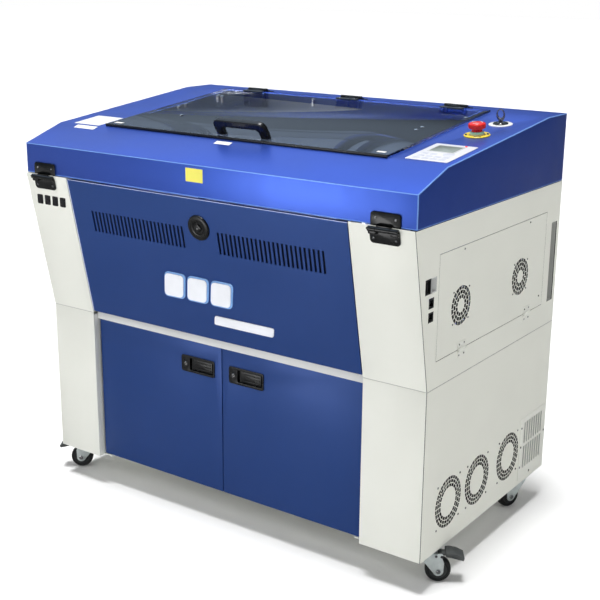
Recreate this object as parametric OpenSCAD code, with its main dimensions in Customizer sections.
// Cabinet laser cutter on casters: a hood with a tinted window over an enclosed work chamber,
// above a two-door storage cabinet. Millimetres, +Z up, +X to the right, +Y towards the rear.

/* [Cabinet] */
// Overall width of the cabinet
body_w = 1130; // [1120:2:1140]
// Depth of the cabinet, hood front to rear panel
body_d = 724; // [722:1:730]
// Height of the cabinet's underside above the floor
base_z = 85; // [83:0.5:87]
// Height of the seam between the lower and upper units
seam_z = 490; // [486:1:494]
// Height of the hood's lower edge
hood_z = 854; // [852:1:858]
// How far the lower front stands back from the hood front
front_setback = 69; // [64:1:74]
// Thickness of the steel panels
sheet = 2; // [1.5:0.25:2.5]

/* [Hood] */
// Height of the hood's front top edge
hood_front_z = 927; // [924:1:932]
// Distance from the hood front to the bend where the window slope starts
kink_y = 119; // [115:1:122]
// Height of that bend
kink_z = 966; // [964:1:970]
// Distance from the hood front to the flat rear strip
crest_y = 617; // [614:1:620]
// Height of the flat rear strip
crest_z = 1018.5; // [1016:0.5:1022]
// Width of the tinted window
lid_w = 824; // [810:2:830]
// Thickness of the tinted window
lid_t = 6; // [4:0.5:6]

/* [Fronts] */
// Width of the opening between the white front posts
opening_w = 827; // [824:1:830]
// Offset of that opening from the middle of the cabinet
front_x = -9.5; // [-12:0.5:0]
// Gap around the doors and the access panel
door_gap = 3; // [2:0.5:4]
// Depth of the folded door pans
door_t = 18; // [14:1:20]
// Diameter of the round panel lock
lock_d = 62; // [56:1:66]
// Width of a door latch
latch_w = 105; // [102:0.5:108]
// Height of a door latch
latch_h = 42.5; // [41:0.5:46]

/* [Casters] */
// Diameter of the caster wheels
wheel_d = 60; // [58:1:62]
// Distance from a swivel axis to its wheel's axle
trail = 30; // [28:1:31]
// Turn of the two front casters away from the sideways direction
front_turn = 33; // [0:1:60]
// Turn of the rear right caster away from pointing to the front
rear_turn = 25; // [0:1:40]

/* [Hidden] */
$fn = 48;

// Clearances: running fits of pins in bores, and seams between panels
run = 0.05;
seam = 1.5;
tiny = 0.5;

half_w = body_w / 2;
inner_w = half_w - sheet;
half_open = opening_w / 2;

// The outermost front and rear points are the hood hinge barrels and the exhaust collar
hinge_reach = 17;
collar_reach = 30;
mid_y = (body_d + collar_reach - hinge_reach) / 2;

// The front of the upper unit leans forward from the seam and passes the hood front at flush_z
flush_z = 828;
upper_top = hood_z - seam;
slant = atan(front_setback / (flush_z - seam_z));
function slant_y(z) = front_setback * (flush_z - z) / (flush_z - seam_z);

// The window slope of the hood
slope = atan((crest_z - kink_z) / (crest_y - kink_y));
function slope_z(y) = kink_z + (y - kink_y) * tan(slope);

// Doors of the lower cabinet
door_y = front_setback + 18;
door_low = base_z + 6;
header_low = seam_z - 19;
door_high = header_low - 2;
pivot_inset = 16;
door_axis_x = half_open - pivot_inset;
door_axis_y = door_y + door_t / 2;
header_y = front_setback + 14;
latch_x = 75;
latch_z = 409;
pivot_r = 3;

// Access panel in the slanted front
panel_low = seam_z + 6;
panel_high = hood_z - 5;
panel_axis_y = front_setback + 7;
panel_axis_z = panel_low + 7;
panel_half = half_open - door_gap;
lock_z = 781;

// Side service door and its fans
service_y = [102, 644];
service_z = [551, 785];
service_axis_x = half_w + 3.2;
service_axis_z = service_z[0] - 1;
service_hinge_y = [216, 554];
service_hinge_half = 18;
service_fan_y = [206, 507];
service_fan_z = 652;
service_fan_w = 80;
cabinet_fan_y = [190, 333, 500];
cabinet_fan_z = 190;
cabinet_fan_w = 120;
fan_depth = 25;

// Hood hinges at the front and window hinges at the rear
hood_axis_y = -11.3;
hood_axis_z = hood_z - 7;
hood_hinge_x = [-499.5, 492.5];
lid_hinge_x = [-307, 3, 313];
hood_hinge_half = 36;
hood_hinge_mid = 17;
lid_axis_y = crest_y + 7;
lid_axis_z = crest_z + 8.5;
lid_front_y = kink_y + 12;
lid_rear_y = crest_y - 1;

// Controls on the hood's right flank
control_x = 498;
control_y = 214;
estop_x = 492;
estop_y = 388;
key_x = 493;
key_y = 505;

// Work chamber
chamber_x = 400;
chamber_y = [95, 640];
chamber_floor = 500;
table_z = 700;
table_y = [132, 592];
guide_x = 385;
guide_y = [125, 600];
guide_r = 8;
rail_z = [828, 843];
beam_y = 350;
carriage_x = -250;
exhaust_z = 690;
exhaust_r = 49.5;

// Casters
caster_x = 533;
caster_front_y = 150;
caster_rear_y = 640;
axle_r = 4;
kingpin_r = 5;
plate_z = base_z - 3;

// ---- general helpers ----

module set_down() translate([0, -mid_y, 0]) children();

module block(lo, hi) translate(lo) cube(hi - lo);

module x_rod(x0, x1, y, z, r) translate([x0, y, z]) rotate([0, 90, 0]) cylinder(h = x1 - x0, r = r);

module y_rod(x, y0, y1, z, r) translate([x, y0, z]) rotate([-90, 0, 0]) cylinder(h = y1 - y0, r = r);

module z_rod(x, y, z0, z1, r) translate([x, y, z0]) cylinder(h = z1 - z0, r = r);

module both_sides() {
    children();
    mirror([1, 0, 0]) children();
}

// The left side as a mirror image of the right one, and where the front opening ends on each side
module side(s) mirror([s < 0 ? 1 : 0, 0, 0]) children();

function edge_x(s) = half_open + s * front_x;

// A profile drawn in the Y-Z plane, extruded along X
module along_x(x0, x1) translate([x0, 0, 0]) rotate([90, 0, 90]) linear_extrude(x1 - x0) children();

// Local Z is the outward normal: hood slope, slanted front, vertical front, right side
module on_slope(x, y) translate([x, y, slope_z(y)]) rotate([slope, 0, 0]) children();

module on_slant(x, z) translate([x, slant_y(z), z]) rotate([90 + slant, 0, 0]) children();

module on_front(x, y, z) translate([x, y, z]) rotate([90, 0, 0]) children();

module on_side(y, z) translate([half_w, y, z]) rotate([90, 0, 90]) children();

module rounded_plate(w, h, r) {
    square([w - 2 * r, h], center = true);
    square([w, h - 2 * r], center = true);
    for (sx = [-1, 1], sy = [-1, 1]) translate([sx * (w / 2 - r), sy * (h / 2 - r)]) circle(r);
}

// ---- fans and grilles ----

// One slot of a ring, between two radii and two angles
module ring_slot(r0, r1, a0, a1)
    polygon([for (p = [[r0, a0], [r1, a0], [r1, a1], [r0, a1]]) p[0] * [cos(p[1]), sin(p[1])]]);

// Rings of slots, each given as [inner radius, number of slots], staggered from ring to ring
module grille(rings, width) {
    for (i = [0:len(rings) - 1]) {
        r = rings[i][0];
        n = rings[i][1];
        step = 360 / n;
        land = 2.2 / (r + width / 2) * 180 / PI;
        for (k = [0:n - 1])
            ring_slot(r, r + width, k * step + (i % 2) * step / 2 + land / 2,
                      (k + 1) * step + (i % 2) * step / 2 - land / 2);
    }
}

module service_grille() grille([[16.5, 12], [26.5, 16], [36.5, 20]], 8);

module cabinet_grille() grille([[36, 20], [45, 25], [54, 30]], 7.2);

// Square fan frame behind a panel, its motor boss and spider at the inner end
module fan_frame(w) {
    bore_r = w / 2 - 3;
    spider = 3;
    difference() {
        translate([-w / 2, -w / 2, -fan_depth]) cube([w, w, fan_depth]);
        translate([0, 0, -fan_depth - 1]) cylinder(h = fan_depth + 2, r = bore_r);
    }
    translate([0, 0, -fan_depth]) cylinder(h = spider, r = w / 6);
    for (a = [45, 165, 285])
        rotate(a) translate([0, -2, -fan_depth]) cube([bore_r + 1, 4, spider]);
    translate([0, 0, -fan_depth]) cylinder(h = fan_depth - 5, r = pivot_r);
}

// Hub and seven pitched blades
module fan_rotor(w) {
    tip_r = w / 2 - 5;
    hub_r = w / 6;
    difference() {
        union() {
            translate([0, 0, 4 - fan_depth]) cylinder(h = fan_depth - 8, r = hub_r);
            for (k = [0:6])
                rotate(k * 360 / 7) translate([hub_r - 2, 0, -fan_depth / 2]) rotate([38, 0, 0])
                    translate([0, -hub_r * 0.45, -0.75]) cube([tip_r - hub_r, hub_r * 0.9, 1.5]);
        }
        translate([0, 0, -fan_depth]) cylinder(h = fan_depth, r = pivot_r + run);
    }
}

module behind_side(y, z) on_side(y, z) translate([0, 0, -sheet]) children();

// ---- lower unit ----

module base_pan() color("whitesmoke") set_down() {
    front_y = door_y + door_t + 3;
    block([-inner_w, front_y, base_z], [inner_w, body_d - sheet, base_z + 3]);
    for (s = [-1, 1]) side(s) {
        pivot_x = edge_x(s) - pivot_inset;
        block([pivot_x - 10, door_axis_y - 8, base_z], [edge_x(s) - tiny, front_y + 1, base_z + 3]);
        z_rod(pivot_x, door_axis_y, base_z + 3, door_low + 6, pivot_r);
    }
}

module lower_side_sheet() block([half_w - sheet, front_setback, base_z], [half_w, body_d, seam_z - seam / 2]);

module upper_side_profile() polygon([
    [slant_y(seam_z + seam / 2), seam_z + seam / 2], [slant_y(upper_top), upper_top],
    [body_d, upper_top], [body_d, seam_z + seam / 2]
]);

// Upper side sheet with its folded top flange
module upper_side_sheet() {
    flange = 18;
    along_x(half_w - sheet, half_w) upper_side_profile();
    block([half_w - flange, sheet + 1, upper_top - sheet], [half_w, body_d - 3, upper_top]);
}

module left_side_panels() color("whitesmoke") set_down() mirror([1, 0, 0]) {
    lower_side_sheet();
    upper_side_sheet();
}

module lower_right_side() color("whitesmoke") set_down() difference() {
    lower_side_sheet();
    for (y = cabinet_fan_y)
        on_side(y, cabinet_fan_z) translate([0, 0, -sheet - 1]) linear_extrude(sheet + 2) cabinet_grille();
    block([half_w - 5, 584, 120], [half_w + 5, 704, 256]);
}

module upper_right_side() color("whitesmoke") set_down() difference() {
    upper_side_sheet();
    block([half_w - 5, service_y[0] - 1, service_z[0] - 1], [half_w + 5, service_y[1] + 1, service_z[1] + 1]);
    block([half_w - 5, 43, 709], [half_w + 5, 90, 742]);
    block([half_w - 5, 60, 676], [half_w + 5, 82, 699]);
    block([half_w - 5, 60, 646], [half_w + 5, 82, 668]);
    block([half_w - 5, 678, 550], [half_w + 5, 709, 753]);
}

module rear_panels() color("whitesmoke") set_down() {
    vent_slots = 12;
    difference() {
        block([-inner_w, body_d - sheet, base_z], [inner_w, body_d, seam_z - seam / 2]);
        for (k = [0:vent_slots - 1])
            block([150 + k * 22, body_d - 5, 300], [158 + k * 22, body_d + 5, 400]);
        block([-424, body_d - 5, 188], [-376, body_d + 5, 216]);
    }
    difference() {
        block([-inner_w, body_d - sheet, seam_z + seam / 2], [inner_w, body_d, upper_top]);
        y_rod(0, body_d - 5, body_d + 5, exhaust_z, exhaust_r + tiny);
    }
}

module lower_front_stiles() color("whitesmoke") set_down() for (s = [-1, 1]) side(s) {
    return_d = 36;
    edge = edge_x(s);
    block([edge, front_setback, base_z], [inner_w, front_setback + sheet, seam_z - seam / 2]);
    block([edge, front_setback, base_z], [edge + sheet, front_setback + return_d, seam_z - 6]);
}

// Header rail above the doors and the deck between the two units
module middle_deck() color("gainsboro") set_down() {
    deck_y = front_setback + 40;
    left = front_x - half_open + tiny;
    right = front_x + half_open - tiny;
    block([left, header_y, header_low], [right, deck_y, header_low + 2]);
    block([left, header_y, header_low], [right, header_y + sheet, seam_z]);
    block([left, header_y, seam_z - sheet], [right, deck_y, seam_z]);
    block([left, deck_y - 2, seam_z - 5], [right, deck_y, seam_z]);
    block([-inner_w + tiny, deck_y - 2, seam_z - 5], [inner_w - tiny, body_d - sheet - tiny, seam_z - 3]);
    for (sx = [-1, 1])
        z_rod(front_x + sx * door_axis_x, door_axis_y, door_high - 6, header_low, pivot_r);
}

module vent_plate() color("gainsboro") set_down() difference() {
    plate_t = 1.5;
    slots = 8;
    block([half_w, 567, 97], [half_w + plate_t, 720, 266]);
    for (k = [0:slots - 1], field = [[127, 187], [195, 251]])
        block([half_w - 1, 591 + k * 14, field[0]], [half_w + 5, 598 + k * 14, field[1]]);
}

module cabinet_fan_frames() color("dimgray") set_down()
    for (y = cabinet_fan_y) behind_side(y, cabinet_fan_z) fan_frame(cabinet_fan_w);

module cabinet_rotor(y) color("darkslategray") set_down()
    behind_side(y, cabinet_fan_z) fan_rotor(cabinet_fan_w);

// ---- upper unit ----

module post_profile(depth) {
    low = seam_z + seam / 2;
    polygon([
        [slant_y(low), low], [slant_y(upper_top), upper_top],
        [slant_y(upper_top) + depth, upper_top], [slant_y(low) + depth, low]
    ]);
}

module upper_front_posts() color("whitesmoke") set_down() for (s = [-1, 1]) side(s) {
    edge = edge_x(s);
    along_x(edge, inner_w) post_profile(sheet);
    along_x(edge, edge + sheet) post_profile(24);
    x_rod(edge - 12, edge + 1, panel_axis_y, panel_axis_z, pivot_r);
}

module chamber_walls() color("silver") set_down() {
    wall_top = rail_z[1] + 2;
    both_sides()
        block([chamber_x, chamber_y[0], chamber_floor + 4], [chamber_x + sheet, chamber_y[1], wall_top]);
    block([-chamber_x - sheet, chamber_y[0], chamber_floor], [chamber_x + sheet, chamber_y[1], chamber_floor + 3]);
    difference() {
        block([-chamber_x + tiny, chamber_y[1] - sheet, chamber_floor + 4], [chamber_x - tiny, chamber_y[1], wall_top]);
        y_rod(0, chamber_y[1] - 5, chamber_y[1] + 5, exhaust_z, exhaust_r - 4);
    }
}

module motion_rails() color("silver") set_down() {
    both_sides() block([chamber_x - 18, 100, rail_z[0]], [chamber_x, 635, rail_z[1]]);
    for (sx = [-1, 1], y = guide_y)
        z_rod(sx * guide_x, y, chamber_floor + 3, table_z + 35, guide_r);
}

module laser_tube() color("silver") set_down() {
    tube_y = 684;
    tube_z = 795;
    x_rod(-420, 360, tube_y, tube_z, 28);
    for (x = [-440, 340])
        block([x, tube_y - 32, tube_z - 32], [x + 40, body_d - sheet, tube_z + 32]);
}

module exhaust_collar() color("silver") set_down() difference() {
    flange_t = 3;
    union() {
        y_rod(0, chamber_y[1], body_d + collar_reach, exhaust_z, exhaust_r);
        y_rod(0, body_d, body_d + flange_t, exhaust_z, exhaust_r + 12);
    }
    y_rod(0, chamber_y[1] - 1, body_d + collar_reach + 1, exhaust_z, exhaust_r - 2);
}

// Data sockets in the right side and the mains inlet in the rear panel
module sockets() color("black") set_down() {
    difference() {
        block([half_w - 14, 43.5, 709.5], [half_w - 1, 68, 741.5]);
        block([half_w - 6, 47, 713], [half_w, 64.5, 738]);
    }
    for (z = [646.5, 676.5]) difference() {
        block([half_w - 18, 60.5, z], [half_w - 0.5, 81.5, z + 21]);
        block([half_w - 13, 64, z + 4], [half_w, 78, z + 17]);
    }
    difference() {
        block([-423.5, body_d - 22, 188.5], [-376.5, body_d + 2, 215.5]);
        block([-414, body_d - 14, 193], [-386, body_d + 5, 211]);
    }
}

// Vertical grip channel let into the right side near the rear
module grip_trough() color("gainsboro") set_down() {
    grip_d = 28;
    wall = 1.5;
    difference() {
        block([half_w - sheet - grip_d, 676, 548], [half_w - sheet, 711, 755]);
        block([half_w - sheet - grip_d + wall, 676 + wall, 548 + wall], [half_w, 711 - wall, 755 - wall]);
    }
    block([half_w - 12, 677.5, 574], [half_w - 5, 684, 603]);
}

// Heads of the screws that hold the fans and the vent plate
module side_screws() color("silver") set_down() {
    head_r = 3;
    for (y = cabinet_fan_y, sy = [-1, 1], sz = [-1, 1])
        on_side(y + sy * 52.5, cabinet_fan_z + sz * 52.5) cylinder(h = 1.5, r = head_r);
    for (p = [[574, 240], [713, 191], [574, 188], [574, 133], [634, 104]])
        on_side(p[0], p[1]) translate([0, 0, 1.5]) cylinder(h = 1.5, r = head_r);
}

// ---- hinges ----

// Leaf, knuckles and pin of one hood hinge on the white post
module post_hinge(x) {
    leaf_h = 24;
    leaf_t = 3.5;
    on_slant(x, hood_axis_z - 7 - leaf_h / 2) linear_extrude(leaf_t) difference() {
        rounded_plate(2 * hood_hinge_half, leaf_h + 12, 8);
        translate([-hood_hinge_half - 1, leaf_h / 2]) square([2 * hood_hinge_half + 2, 10]);
    }
    for (k = [[-hood_hinge_half, -hood_hinge_mid - 0.3], [hood_hinge_mid + 0.3, hood_hinge_half]]) {
        x_rod(x + k[0], x + k[1], hood_axis_y, hood_axis_z, 5.7);
        block([x + k[0], hood_axis_y, hood_axis_z - 11], [x + k[1], -5.4, hood_axis_z]);
    }
    x_rod(x - hood_hinge_half - 4, x + hood_hinge_half, hood_axis_y, hood_axis_z, 2.5);
}

module service_hinge_fixed(y) {
    half = service_hinge_half;
    block([half_w, y - half, service_axis_z - 18], [half_w + 1.2, y + half, service_axis_z - 3.4]);
    for (k = [[-half, -5.3], [5.3, half]]) {
        y_rod(service_axis_x, y + k[0], y + k[1], service_axis_z, 3);
        block([half_w, y + k[0], service_axis_z - 4], [service_axis_x, y + k[1], service_axis_z]);
    }
    y_rod(service_axis_x, y - half, y + half, service_axis_z, 1.4);
}

module fixed_hinge_leaves() color("black") set_down() {
    for (x = hood_hinge_x) post_hinge(x);
    for (y = service_hinge_y) service_hinge_fixed(y);
}

module hood_hinge_straps() color("black") set_down() for (x = hood_hinge_x) {
    leaf_h = 27;
    mid = hood_hinge_mid;
    difference() {
        union() {
            on_front(x, 0, hood_z + 1 + leaf_h / 2) linear_extrude(4)
                rounded_plate(2 * hood_hinge_half, leaf_h, 8);
            block([x - mid, hood_axis_y, hood_z], [x + mid, -tiny, hood_z + 4]);
            block([x - mid, hood_axis_y, hood_axis_z], [x + mid, -5.6, hood_z + 4]);
            x_rod(x - mid, x + mid, hood_axis_y, hood_axis_z, 5.7);
        }
        x_rod(x - mid - 1, x + mid + 1, hood_axis_y, hood_axis_z, 2.5 + run);
    }
}

module lid_hinge_bases() color("black") set_down() for (x = lid_hinge_x) {
    half = 32;
    mid = 14;
    block([x - half, lid_axis_y + 8, crest_z], [x + half, lid_axis_y + 32, crest_z + 4]);
    for (k = [[-half, -mid - 0.3], [mid + 0.3, half]]) {
        x_rod(x + k[0], x + k[1], lid_axis_y, lid_axis_z, 5.5);
        block([x + k[0], lid_axis_y, lid_axis_z - 5], [x + k[1], lid_axis_y + 12, lid_axis_z - 1]);
        block([x + k[0], lid_axis_y + 8, crest_z], [x + k[1], lid_axis_y + 12, lid_axis_z - 1]);
    }
    x_rod(x - half, x + half, lid_axis_y, lid_axis_z, 2);
}

// ---- hood ----

module hood_shell() color("royalblue") set_down() difference() {
    along_x(-half_w, half_w) polygon([
        [0, hood_z], [0, hood_front_z], [kink_y, kink_z], [crest_y, crest_z],
        [body_d, crest_z], [body_d, hood_z]
    ]);
    along_x(-inner_w, inner_w) polygon([
        [sheet, hood_z - 1], [sheet, hood_front_z - 1.4], [kink_y + 0.4, kink_z - 2.1],
        [crest_y + 0.1, crest_z - sheet], [body_d - sheet, crest_z - sheet], [body_d - sheet, hood_z - 1]
    ]);
    block([-lid_w / 2 + 20, lid_front_y + 23, hood_z + 20], [lid_w / 2 - 20, lid_rear_y - 18, crest_z + 20]);
    on_slope(estop_x, estop_y) translate([0, 0, -20]) cylinder(h = 40, r = 14.5);
    on_slope(key_x, key_y) translate([0, 0, -20]) cylinder(h = 40, r = 13.5);
}

// Membrane keypad plate with a display window and low keys
module control_panel() color("lavender") set_down() on_slope(control_x, control_y) {
    plate_w = 102;
    plate_d = 142;
    plate_t = 1.6;
    difference() {
        linear_extrude(plate_t) rounded_plate(plate_w, plate_d, 3);
        translate([-38, 18, 0.8]) cube([74, 42, 2]);
    }
    for (i = [0:3], j = [0:1])
        translate([-38 + i * 19, -58 + j * 19, plate_t - 0.1]) cube([15, 13, 0.6]);
    for (j = [0:1])
        translate([-38 + j * 19, -18, plate_t - 0.1]) cube([15, 13, 0.6]);
}

// Round guard and collar of the emergency stop, and the bezel of the key switch
module switch_collars() color("gold") set_down() {
    on_slope(estop_x, estop_y) difference() {
        union() {
            cylinder(h = 3, r = 30);
            cylinder(h = 12, r = 17);
            translate([0, 0, -32]) cylinder(h = 33, r = 14);
        }
        translate([0, 0, -24]) cylinder(h = 60, r = 12 + run);
    }
    on_slope(key_x, key_y) difference() {
        union() {
            cylinder(h = 2.5, r = 28);
            cylinder(h = 5, r = 18);
            translate([0, 0, -30]) cylinder(h = 31, r = 13);
        }
        translate([0, 0, -22]) cylinder(h = 60, r = 8 + run);
    }
}

module estop_button() color("red") set_down() on_slope(estop_x, estop_y) {
    translate([0, 0, -14]) cylinder(h = 33, r = 12);
    rotate_extrude() polygon([
        [0, 17], [17, 17], [19, 18.5], [20, 21], [20, 25], [18.5, 28], [15, 30], [0, 31]
    ]);
}

module keyswitch_key() color("silver") set_down() on_slope(key_x, key_y) {
    translate([0, 0, -16]) cylinder(h = 21.5, r = 8);
    translate([-5, -1.2, 5]) cube([10, 2.4, 6]);
    translate([0, 1.2, 23]) rotate([90, 0, 0]) linear_extrude(2.4) difference() {
        scale([1, 1.4]) circle(11);
        translate([0, 3]) scale([1, 1.5]) circle(6.5);
    }
}

module lid_window() color([0.15, 0.16, 0.2, 0.6]) set_down() on_slope(0, lid_front_y)
    translate([-lid_w / 2, 0, tiny]) cube([lid_w, (lid_rear_y - lid_front_y) / cos(slope), lid_t]);

// Window hinge leaves and the screws that pass through the window
module lid_fittings() color("black") set_down() {
    half = 32;
    mid = 14;
    leaf_d = 24;
    for (x = lid_hinge_x) difference() {
        union() {
            on_slope(x, lid_rear_y) translate([-half, -leaf_d, lid_t + tiny]) cube([2 * half, leaf_d - 4, 4]);
            block([x - mid, lid_axis_y - 14, lid_axis_z - 2], [x + mid, lid_axis_y, lid_axis_z + 2]);
            x_rod(x - mid, x + mid, lid_axis_y, lid_axis_z, 5.5);
        }
        x_rod(x - mid - 1, x + mid + 1, lid_axis_y, lid_axis_z, 2 + run);
    }
    for (p = [[-373, 364], [-373, 393], [351, 360], [351, 389], [-365, 517], [398, 515], [-80, 567], [-291, 281]])
        on_slope(p[0], p[1]) translate([0, 0, lid_t + tiny]) cylinder(h = 2.5, r = 5);
}

// A flat bow that leans towards the operator
module lid_handle() color("black") set_down() on_slope(10, 156) translate([0, 0, lid_t + tiny]) {
    outer = 76;
    inner = 52;
    top = 46;
    under = 28;
    chamfer = 9;
    thick = 14;
    foot = 12;
    difference() {
        rotate([27, 0, 0]) translate([0, thick / 2, 0]) rotate([90, 0, 0]) linear_extrude(thick) polygon([
            [-outer, -foot], [-outer, top - chamfer], [chamfer - outer, top], [outer - chamfer, top],
            [outer, top - chamfer], [outer, -foot], [inner, -foot], [inner, under - chamfer],
            [inner - chamfer, under], [chamfer - inner, under], [-inner, under - chamfer], [-inner, -foot]
        ]);
        block([-outer - 1, -30, -30], [outer + 1, 30, 0]);
    }
}

// ---- access panel ----

module panel_profile(depth) polygon([
    [slant_y(panel_low), panel_low], [slant_y(panel_high), panel_high],
    [slant_y(panel_high) + depth, panel_high], [slant_y(panel_low) + depth, panel_low]
]);

module access_panel() color("midnightblue") set_down() translate([front_x, 0, 0]) difference() {
    flange = 18;
    slots = 25;
    slot_pitch = 12;
    first_slot = 54;
    top_y = slant_y(panel_high);
    union() {
        along_x(-panel_half, panel_half) panel_profile(sheet);
        both_sides() along_x(panel_half - sheet, panel_half) panel_profile(flange);
        block([-panel_half, top_y, panel_high - sheet], [panel_half, top_y + flange, panel_high]);
    }
    x_rod(-half_open, half_open, panel_axis_y, panel_axis_z, pivot_r + run);
    for (sx = [-1, 1], k = [0:slots - 1])
        on_slant(sx * (first_slot + k * slot_pitch), 750.5) translate([-3, -27, -6]) cube([6, 54, 12]);
    on_slant(0, lock_z) translate([0, 0, -10]) cylinder(h = 20, r = lock_d / 2 - 5);
}

module panel_lock_ring() color("black") set_down() on_slant(front_x, lock_z) difference() {
    ring_h = 5;
    union() {
        cylinder(h = ring_h, r = lock_d / 2);
        translate([0, 0, -16]) cylinder(h = 17, r = lock_d / 2 - 5 - tiny);
    }
    translate([0, 0, -20]) cylinder(h = 40, r = lock_d / 4 + run);
}

module panel_lock_core() color("dimgray") set_down() on_slant(front_x, lock_z) {
    translate([0, 0, -18]) cylinder(h = 22, r = lock_d / 4);
    translate([-3, -12, 3]) cube([6, 24, 7]);
    translate([-12, -10, -22]) cube([24, 34, 4.5]);
}

// ---- cabinet doors and latches ----

// Right-hand door, measured from the middle of the opening; the left one is its mirror image
module door_pan() difference() {
    hole_w = latch_w - 5;
    hole_h = latch_h - 8;
    wall = 1.5;
    outer_x = half_open - 2 * door_gap;
    inner_x = door_gap / 2;
    block([inner_x, door_y, door_low], [outer_x, door_y + door_t, door_high]);
    block([inner_x + wall, door_y + wall, door_low + wall],
          [door_axis_x - 8, door_y + door_t + 1, door_high - wall]);
    block([latch_x - hole_w / 2, door_y - 1, latch_z - hole_h / 2],
          [latch_x + hole_w / 2, door_y + 5, latch_z + hole_h / 2]);
    z_rod(door_axis_x, door_axis_y, door_low - 1, door_low + 7, pivot_r + run);
    z_rod(door_axis_x, door_axis_y, door_high - 7, door_high + 1, pivot_r + run);
    block([door_axis_x - 6, door_y + wall, door_low + 12], [outer_x - wall, door_y + door_t + 1, door_high - 12]);
}

module latch_frame(x) on_front(front_x + x, door_y, latch_z) {
    pan_d = 20;
    pan_w = latch_w - 6;
    pan_h = latch_h - 9;
    wall = 1.5;
    paddle_x = -20;
    difference() {
        union() {
            linear_extrude(2.5) rounded_plate(latch_w, latch_h, 6);
            translate([-pan_w / 2, -pan_h / 2, -pan_d]) cube([pan_w, pan_h, pan_d + 1]);
        }
        translate([paddle_x - 6, -pan_h / 2 + wall, -pan_d + 2])
            cube([pan_w / 2 - wall - paddle_x + 6, pan_h - 2 * wall, pan_d + 2]);
        translate([-38, 0, -pan_d - 1]) cylinder(h = pan_d + 5, r = 9 + run);
        translate([paddle_x, -latch_h / 2 + 3, -4]) rotate([-90, 0, 0]) cylinder(h = latch_h - 6, r = 1.5 + run);
    }
}

// Ribbed paddle on a vertical pin next to the key cylinder
module latch_paddle(x) on_front(front_x + x, door_y, latch_z) {
    paddle_h = latch_h - 14;
    start = -20;
    length = latch_w / 2 - 9 - start;
    translate([start, -paddle_h / 2, -4]) rotate([-90, 0, 0]) cylinder(h = paddle_h, r = 4);
    translate([start, -paddle_h / 2, -6]) cube([length, paddle_h, 5]);
    for (k = [0:3])
        translate([start + 8, -12 + k * 7, -1.5]) cube([length - 12, 3, 3]);
    translate([start, -paddle_h / 2 - 3, -4]) rotate([-90, 0, 0]) cylinder(h = paddle_h + 6, r = 1.5);
}

module latch_cylinder(x) on_front(front_x + x - 38, door_y, latch_z) difference() {
    translate([0, 0, -19]) cylinder(h = 23, r = 9);
    translate([-5, -1, 1]) cube([10, 2, 5]);
}

module left_door() color("mediumblue") set_down() translate([front_x, 0, 0]) side(-1) door_pan();

module left_latch_pan() color("black") set_down() latch_frame(-latch_x);

module left_latch_paddle() color("black") set_down() latch_paddle(-latch_x);

module left_latch_cylinder() color("silver") set_down() latch_cylinder(-latch_x);

module right_door() color("mediumblue") set_down() translate([front_x, 0, 0]) door_pan();

module right_latch_pan() color("black") set_down() latch_frame(latch_x);

module right_latch_paddle() color("black") set_down() latch_paddle(latch_x);

module right_latch_cylinder() color("silver") set_down() latch_cylinder(latch_x);

// ---- service door ----

module service_door() color("whitesmoke") set_down() difference() {
    block([half_w - sheet, service_y[0], service_z[0]], [half_w, service_y[1], service_z[1]]);
    for (y = service_fan_y)
        on_side(y, service_fan_z) translate([0, 0, -sheet - 1]) linear_extrude(sheet + 2) service_grille();
}

// Fan frames, moving hinge leaves and screws that ride on the service door
module service_fittings() color("dimgray") set_down() {
    for (y = service_fan_y) {
        behind_side(y, service_fan_z) fan_frame(service_fan_w);
        for (sy = [-1, 1], sz = [-1, 1])
            on_side(y + sy * 36, service_fan_z + sz * 36) cylinder(h = 1.5, r = 2.2);
    }
    for (y = service_hinge_y) difference() {
        union() {
            block([half_w, y - service_hinge_half, service_axis_z + 3.4],
                  [half_w + 1.2, y + service_hinge_half, service_axis_z + 18]);
            block([half_w, y - 5, service_axis_z], [service_axis_x, y + 5, service_axis_z + 5]);
            y_rod(service_axis_x, y - 5, y + 5, service_axis_z, 3);
        }
        y_rod(service_axis_x, y - 6, y + 6, service_axis_z, 1.4 + run);
    }
    for (p = [[212, 777], [548, 777], [624, 578]]) on_side(p[0], p[1]) cylinder(h = 2, r = 2.4);
}

module service_rotor(y) color("darkslategray") set_down()
    behind_side(y, service_fan_z) fan_rotor(service_fan_w);

// ---- motion system ----

module gantry_beam() color("silver") set_down() {
    block([-380, beam_y - 14, 806], [380, beam_y + 16, rail_z[1] + 2]);
    for (sx = [-1, 1])
        block([min(sx * 376, sx * 399), beam_y - 30, rail_z[1] + 0.3],
              [max(sx * 376, sx * 399), beam_y + 30, rail_z[1] + 7]);
}

module lens_carriage() color("dimgray") set_down() {
    front_y = beam_y - 14.4;
    block([carriage_x - 38, front_y - 14, 782], [carriage_x + 38, front_y, rail_z[1] + 7]);
    block([carriage_x - 38, front_y - 14, rail_z[1] + 2.4], [carriage_x + 38, beam_y + 10, rail_z[1] + 7]);
    z_rod(carriage_x, front_y - 24, 760, 822, 13);
    z_rod(carriage_x, front_y - 24, 742, 761, 7);
}

module work_table() color("darkgray") set_down() {
    rim = 16;
    x = 370;
    difference() {
        union() {
            difference() {
                block([-x, table_y[0], table_z - 26], [x, table_y[1], table_z]);
                block([-x + rim, table_y[0] + rim, table_z - 30], [x - rim, table_y[1] - rim, table_z + 1]);
            }
            block([-x + rim - 1, table_y[0] + rim - 1, table_z - 5], [x - rim + 1, table_y[1] - rim + 1, table_z - 2]);
            for (sx = [-1, 1], y = guide_y)
                block([min(sx * (x - 10), sx * (guide_x + 11)), y - 14, table_z - 26],
                      [max(sx * (x - 10), sx * (guide_x + 11)), y + 14, table_z - 8]);
        }
        for (sx = [-1, 1], y = guide_y) z_rod(sx * guide_x, y, table_z - 30, table_z, guide_r + run);
    }
}

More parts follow.
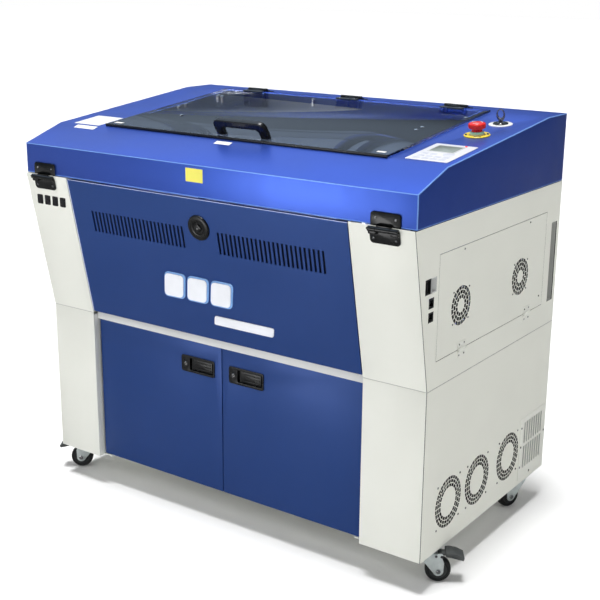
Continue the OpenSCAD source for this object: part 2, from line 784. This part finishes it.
// ---- casters ----

// Moves a caster's own frame, with its trail along +X, to its place under the cabinet
module caster_place(x, y, turn) set_down() translate([x, y, 0]) rotate(turn) children();

module front_left_place() caster_place(-caster_x, caster_front_y, 180 + front_turn) children();

module front_right_place() caster_place(caster_x, caster_front_y, front_turn) children();

module rear_left_place() caster_place(-caster_x, caster_rear_y, -90) children();

module rear_right_place() caster_place(caster_x, caster_rear_y, -90 - rear_turn) children();

module caster_plate() {
    translate([-30, -30, plate_z]) cube([60, 60, 3]);
    z_rod(0, 0, plate_z - 16, plate_z + 1, kingpin_r);
    for (sx = [-1, 1], sy = [-1, 1]) z_rod(sx * 23, sy * 23, plate_z - 1, plate_z + 1, 4);
}

module caster_plates() color("silver")
    for (sx = [-1, 1], y = [caster_front_y, caster_rear_y])
        caster_place(sx * caster_x, y, 0) caster_plate();

// Swivel head, two legs and the axle
module caster_fork(braked) {
    leg_in = 14;
    leg_t = 2.5;
    head_low = plate_z - 14;
    ear_x = braked ? 40 : 17;
    difference() {
        union() {
            z_rod(0, 0, head_low, plate_z - 1, 21);
            for (s = [-leg_in - leg_t, leg_in]) translate([0, s, 0]) rotate([90, 0, 0]) mirror([0, 0, 1])
                linear_extrude(leg_t) {
                    polygon([[-15, head_low + 6], [ear_x, head_low + 6], [ear_x, head_low - 5],
                             [trail + 11, wheel_d / 2 + 6], [trail - 11, wheel_d / 2 - 5]]);
                    translate([trail, wheel_d / 2]) circle(12);
                }
        }
        z_rod(0, 0, head_low - 1, plate_z, kingpin_r + run);
    }
    translate([trail, -leg_in - leg_t - 2, wheel_d / 2]) rotate([-90, 0, 0])
        cylinder(h = 2 * (leg_in + leg_t + 2), r = axle_r);
    if (braked)
        translate([34, -leg_in - leg_t, plate_z - 14]) rotate([-90, 0, 0])
            cylinder(h = 2 * (leg_in + leg_t), r = 2.5);
}

module caster_wheel() translate([trail, 0, wheel_d / 2]) rotate([90, 0, 0]) rotate_extrude() {
    r = wheel_d / 2;
    polygon([[axle_r + run, -13], [9, -13], [9, -8], [r - 11, -8], [r - 9, -11], [r - 3, -11], [r, -8],
             [r, 8], [r - 3, 11], [r - 9, 11], [r - 11, 8], [9, 8], [9, 13], [axle_r + run, 13]]);
}

module caster_pedal() translate([34, 0, plate_z - 14]) difference() {
    union() {
        translate([0, 12, 0]) rotate([90, 0, 0]) cylinder(h = 24, r = 4.5);
        translate([0, -12, 0]) cube([18, 24, 4.5]);
        translate([14, 21, 0]) rotate([90, 0, 0])
            linear_extrude(42) polygon([[0, 0], [0, 6], [20, 8], [36, 4], [42, -6], [38, -7], [33, -1], [18, 2]]);
    }
    translate([0, 13, 0]) rotate([90, 0, 0]) cylinder(h = 26, r = 2.5 + run);
}

base_pan();
left_side_panels();
lower_right_side();
upper_right_side();
rear_panels();
lower_front_stiles();
middle_deck();
upper_front_posts();
chamber_walls();
motion_rails();
laser_tube();
exhaust_collar();
sockets();
caster_plates();
cabinet_fan_frames();
vent_plate();
side_screws();
grip_trough();
fixed_hinge_leaves();
hood_shell();
control_panel();
switch_collars();
hood_hinge_straps();
lid_hinge_bases();
lid_window();
lid_fittings();
lid_handle();
estop_button();
keyswitch_key();
access_panel();
panel_lock_ring();
panel_lock_core();
left_door();
left_latch_pan();
left_latch_paddle();
left_latch_cylinder();
right_door();
right_latch_pan();
right_latch_paddle();
right_latch_cylinder();
service_door();
service_fittings();
service_rotor(service_fan_y[0]);  // service_rotor_front
service_rotor(service_fan_y[1]);  // service_rotor_rear
cabinet_rotor(cabinet_fan_y[0]);  // cabinet_rotor_front
cabinet_rotor(cabinet_fan_y[1]);  // cabinet_rotor_middle
cabinet_rotor(cabinet_fan_y[2]);  // cabinet_rotor_rear
gantry_beam();
lens_carriage();
work_table();
color("silver") front_left_place() caster_fork(true);  // front_left_fork
color("dimgray") front_left_place() caster_wheel();  // front_left_wheel
color("gray") front_left_place() caster_pedal();  // front_left_pedal
color("silver") front_right_place() caster_fork(true);  // front_right_fork
color("dimgray") front_right_place() caster_wheel();  // front_right_wheel
color("gray") front_right_place() caster_pedal();  // front_right_pedal
color("silver") rear_left_place() caster_fork(false);  // rear_left_fork
color("dimgray") rear_left_place() caster_wheel();  // rear_left_wheel
color("silver") rear_right_place() caster_fork(false);  // rear_right_fork
color("dimgray") rear_right_place() caster_wheel();  // rear_right_wheel
